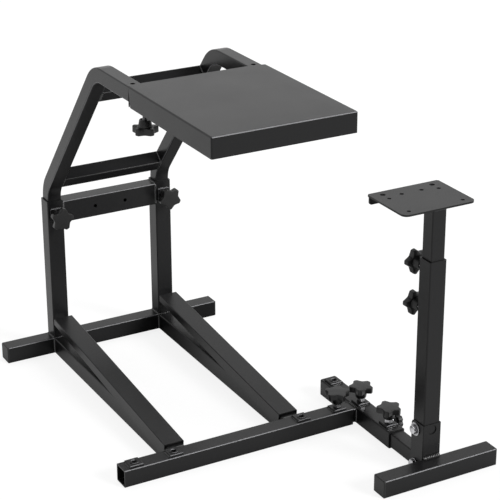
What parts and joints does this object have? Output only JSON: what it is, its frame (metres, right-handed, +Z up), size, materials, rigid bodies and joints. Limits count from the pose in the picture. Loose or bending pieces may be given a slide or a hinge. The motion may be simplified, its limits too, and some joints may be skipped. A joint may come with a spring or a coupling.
{
  "type": "racing wheel stand",
  "caption": "Free-standing square-tube stand that holds a steering wheel on a sliding deck, pedals on tilting rails and a gear shifter on a side post, with star-knob clamps.",
  "frame": {"origin": "on the floor, in the middle of the underside of the rear foot", "axes": "+X to the driver's right, +Y forward, away from the driver, +Z up"},
  "size_m": [0.5486, 0.7476, 0.6023],
  "materials": {
    "powder_coat": "satin",
    "black_plastic": "matte",
    "knob_plastic": "matte",
    "zinc_steel": "zinc plated"
  },
  "bodies": {
    "base_frame": {"rear_foot": "powder_coat", "rear_foot_caps": "black_plastic", "left_post": "powder_coat", "right_post": "powder_coat", "post_nut_plates": "powder_coat", "crossbeam": "powder_coat", "left_rail": "powder_coat", "right_rail": "powder_coat", "front_bar": "powder_coat", "front_bar_nut_plates": "powder_coat", "channel_pivot_pins": "zinc_steel"},
    "wheel_frame": {"left_bent_tube": "powder_coat", "right_bent_tube": "powder_coat", "middle_brace": "powder_coat", "upper_brace": "powder_coat", "arm_end_caps": "black_plastic"},
    "wheel_deck": {"wheel_deck_plate": "powder_coat"},
    "left_channel": {"left_pedal_channel": "powder_coat"},
    "right_channel": {"right_pedal_channel": "powder_coat"},
    "shifter_support": {"shifter_stub": "powder_coat", "shifter_sleeve": "powder_coat", "shifter_sleeve_cap": "black_plastic", "shifter_sleeve_bush": "black_plastic", "shifter_sleeve_nut_plates": "powder_coat"},
    "shifter_stand": {"shifter_arm_tube": "powder_coat", "shifter_bracket": "powder_coat", "shifter_arm_spacers": "zinc_steel", "shifter_bracket_bolts": "zinc_steel", "shifter_foot": "powder_coat", "shifter_foot_caps": "black_plastic", "shifter_outer_post": "powder_coat", "shifter_post_nut_plates": "powder_coat"},
    "shifter_head": {"shifter_inner_post": "powder_coat", "shifter_plate": "powder_coat"},
    "left_post_knob_body": {"left_post_knob": "knob_plastic"},
    "right_post_knob_body": {"right_post_knob": "knob_plastic"},
    "front_bar_knob_body": {"front_bar_knob": "knob_plastic"},
    "left_deck_knob_body": {"left_deck_knob": "knob_plastic"},
    "right_deck_knob_body": {"right_deck_knob": "knob_plastic"},
    "sleeve_middle_knob_body": {"sleeve_middle_knob": "knob_plastic"},
    "sleeve_front_knob_body": {"sleeve_front_knob": "knob_plastic"},
    "sleeve_side_knob_body": {"sleeve_side_knob": "knob_plastic"},
    "upper_shifter_knob_body": {"upper_shifter_knob": "knob_plastic"},
    "lower_shifter_knob_body": {"lower_shifter_knob": "knob_plastic"}
  },
  "joints": [
    {"name": "wheel_height", "type": "slide", "parent": "base_frame", "child": "wheel_frame", "axis": [0, 0, 1], "range_m": [0, 0.12]},
    {"name": "deck_distance", "type": "slide", "parent": "wheel_frame", "child": "wheel_deck", "axis": [0, -1, 0], "range_m": [-0.06, 0.06]},
    {"name": "left_channel_tilt", "type": "hinge", "parent": "base_frame", "child": "left_channel", "pos_m": [-0.105, -0.4595, 0.019], "axis": [1, 0, 0], "range_deg": [-4, 7]},
    {"name": "right_channel_tilt", "type": "hinge", "parent": "base_frame", "child": "right_channel", "pos_m": [0.105, -0.4595, 0.019], "axis": [1, 0, 0], "range_deg": [-4, 7]},
    {"name": "shifter_reach", "type": "slide", "parent": "base_frame", "child": "shifter_support", "axis": [1, 0, 0], "range_m": [0, 0.1]},
    {"name": "shifter_distance", "type": "slide", "parent": "shifter_support", "child": "shifter_stand", "axis": [0, -1, 0], "range_m": [-0.045, 0.08]},
    {"name": "shifter_height", "type": "slide", "parent": "shifter_stand", "child": "shifter_head", "axis": [0, 0, 1], "range_m": [-0.06, 0.12]},
    {"name": "left_post_knob_turn", "type": "hinge", "parent": "base_frame", "child": "left_post_knob_body", "pos_m": [-0.105, -0.0185, 0.2685], "axis": [0, -1, 0], "range_deg": [0, 270]},
    {"name": "right_post_knob_turn", "type": "hinge", "parent": "base_frame", "child": "right_post_knob_body", "pos_m": [0.105, -0.0185, 0.2685], "axis": [0, -1, 0], "range_deg": [0, 270]},
    {"name": "front_bar_knob_turn", "type": "hinge", "parent": "base_frame", "child": "front_bar_knob_body", "pos_m": [0.186, -0.4935, 0.0335], "axis": [0, 0, 1], "range_deg": [0, 270]},
    {"name": "left_deck_knob_turn", "type": "hinge", "parent": "wheel_deck", "child": "left_deck_knob_body", "pos_m": [-0.105, -0.396, 0.5693], "axis": [0, 0, -1], "range_deg": [0, 270]},
    {"name": "right_deck_knob_turn", "type": "hinge", "parent": "wheel_deck", "child": "right_deck_knob_body", "pos_m": [0.105, -0.396, 0.5693], "axis": [0, 0, -1], "range_deg": [0, 270]},
    {"name": "sleeve_middle_knob_turn", "type": "hinge", "parent": "shifter_support", "child": "sleeve_middle_knob_body", "pos_m": [0.2316, -0.4955, 0.0335], "axis": [0, 0, 1], "range_deg": [0, 270]},
    {"name": "sleeve_front_knob_turn", "type": "hinge", "parent": "shifter_support", "child": "sleeve_front_knob_body", "pos_m": [0.2316, -0.5805, 0.0335], "axis": [0, 0, 1], "range_deg": [0, 270]},
    {"name": "sleeve_side_knob_turn", "type": "hinge", "parent": "shifter_support", "child": "sleeve_side_knob_body", "pos_m": [0.2466, -0.564, 0.0215], "axis": [1, 0, 0], "range_deg": [0, 270]},
    {"name": "upper_shifter_knob_turn", "type": "hinge", "parent": "shifter_stand", "child": "upper_shifter_knob_body", "pos_m": [0.2316, -0.6675, 0.344], "axis": [0, 1, 0], "range_deg": [0, 270]},
    {"name": "lower_shifter_knob_turn", "type": "hinge", "parent": "shifter_stand", "child": "lower_shifter_knob_body", "pos_m": [0.2316, -0.6675, 0.275], "axis": [0, 1, 0], "range_deg": [0, 270]}
  ]
}
